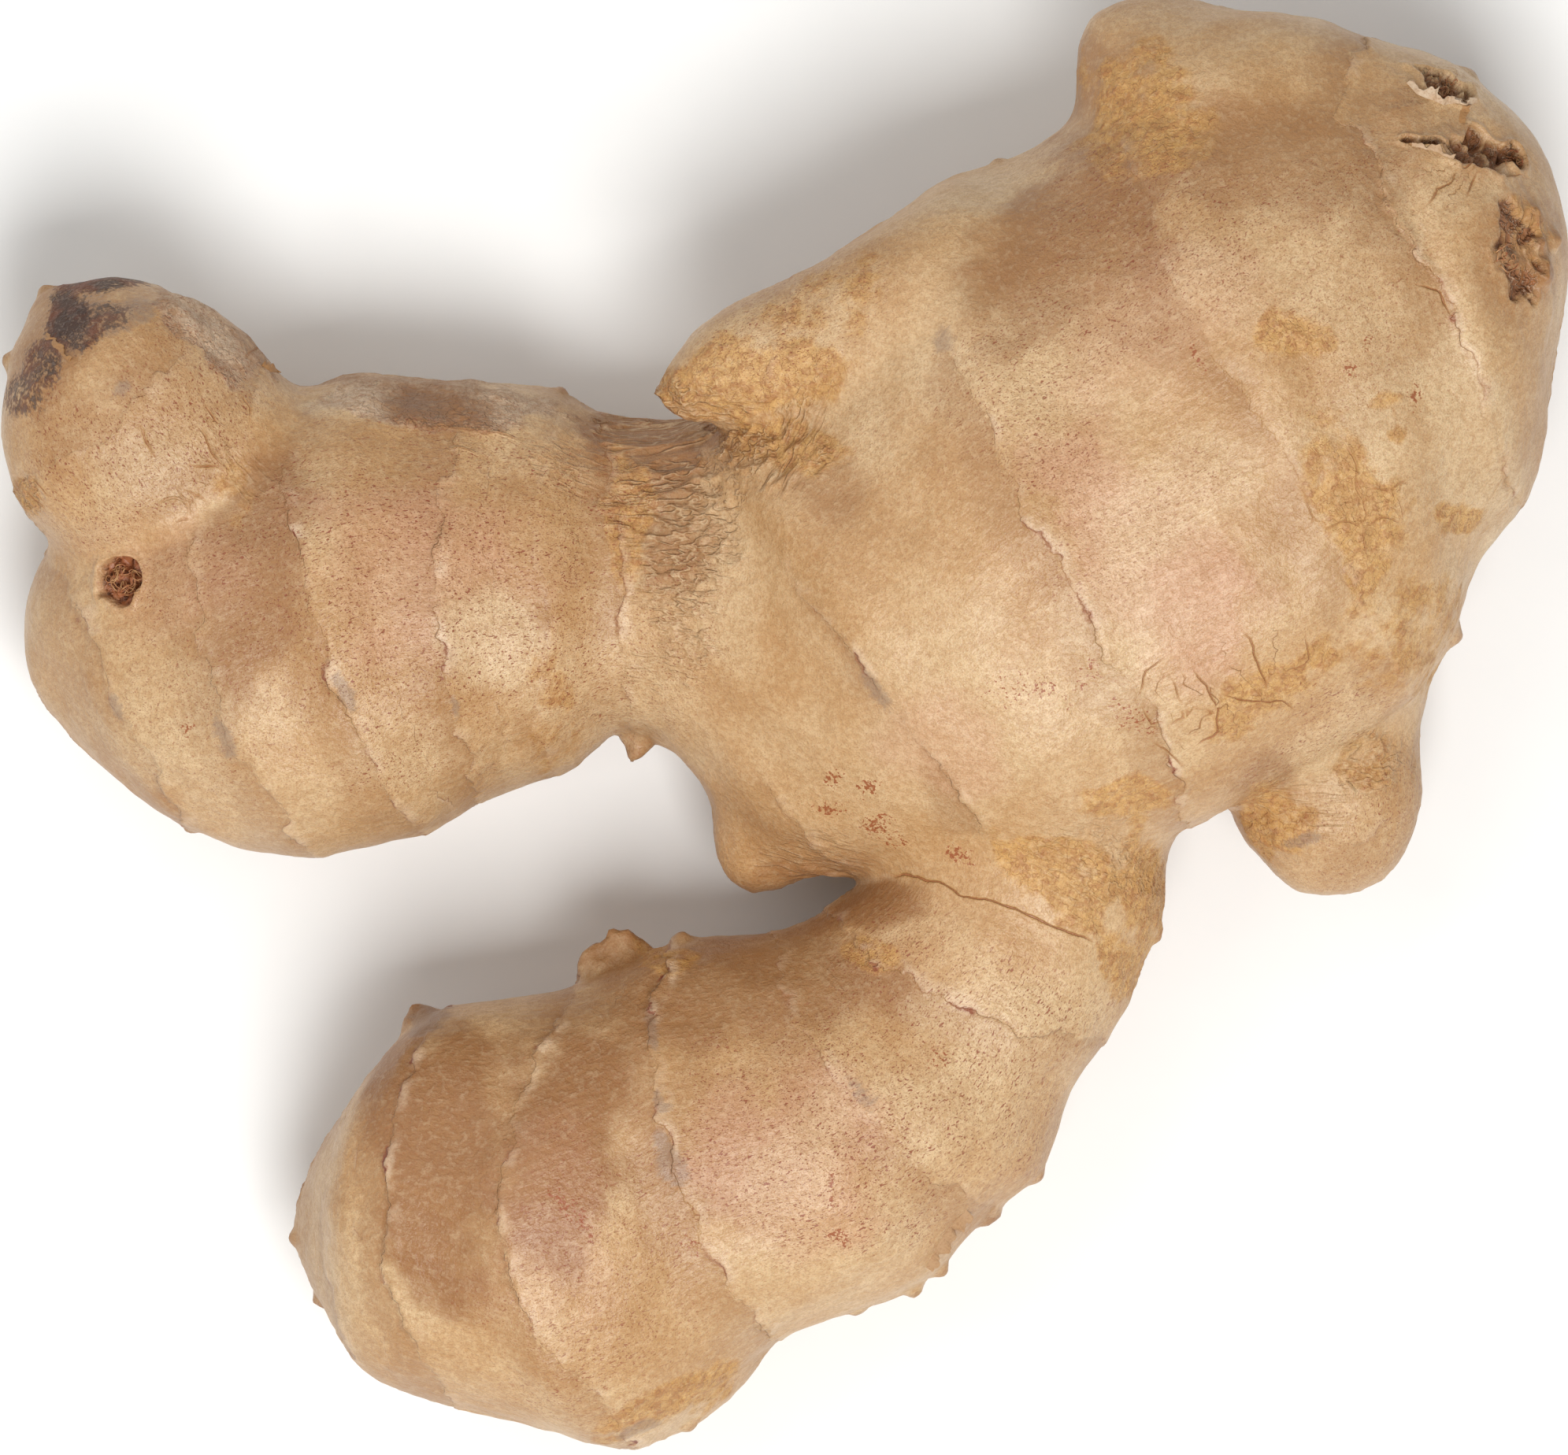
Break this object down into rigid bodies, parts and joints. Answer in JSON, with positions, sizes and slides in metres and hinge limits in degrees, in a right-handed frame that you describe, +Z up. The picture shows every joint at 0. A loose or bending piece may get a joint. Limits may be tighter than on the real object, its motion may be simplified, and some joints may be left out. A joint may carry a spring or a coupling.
{
  "type": "ginger root",
  "caption": "Hand of fresh ginger: a thick ringed rhizome that branches into fingers, a knob, buds and a stub, lying on its underside.",
  "frame": {"origin": "on the surface that the rhizome lies on, under the middle of its plan box", "axes": "+Z up, away from the surface; +X along the longest side of the plan, from the knob and the left finger to the thick end; +Y from the lower finger to the crown bud"},
  "size_m": [0.1244, 0.1156, 0.0381],
  "materials": {
    "ginger_skin": "thin, dry, satin plant skin in tan and straw colours, with darker speckles, corky patches and ring scars"
  },
  "bodies": {
    "root": {"ginger_rhizome": "ginger_skin"}
  },
  "joints": []
}
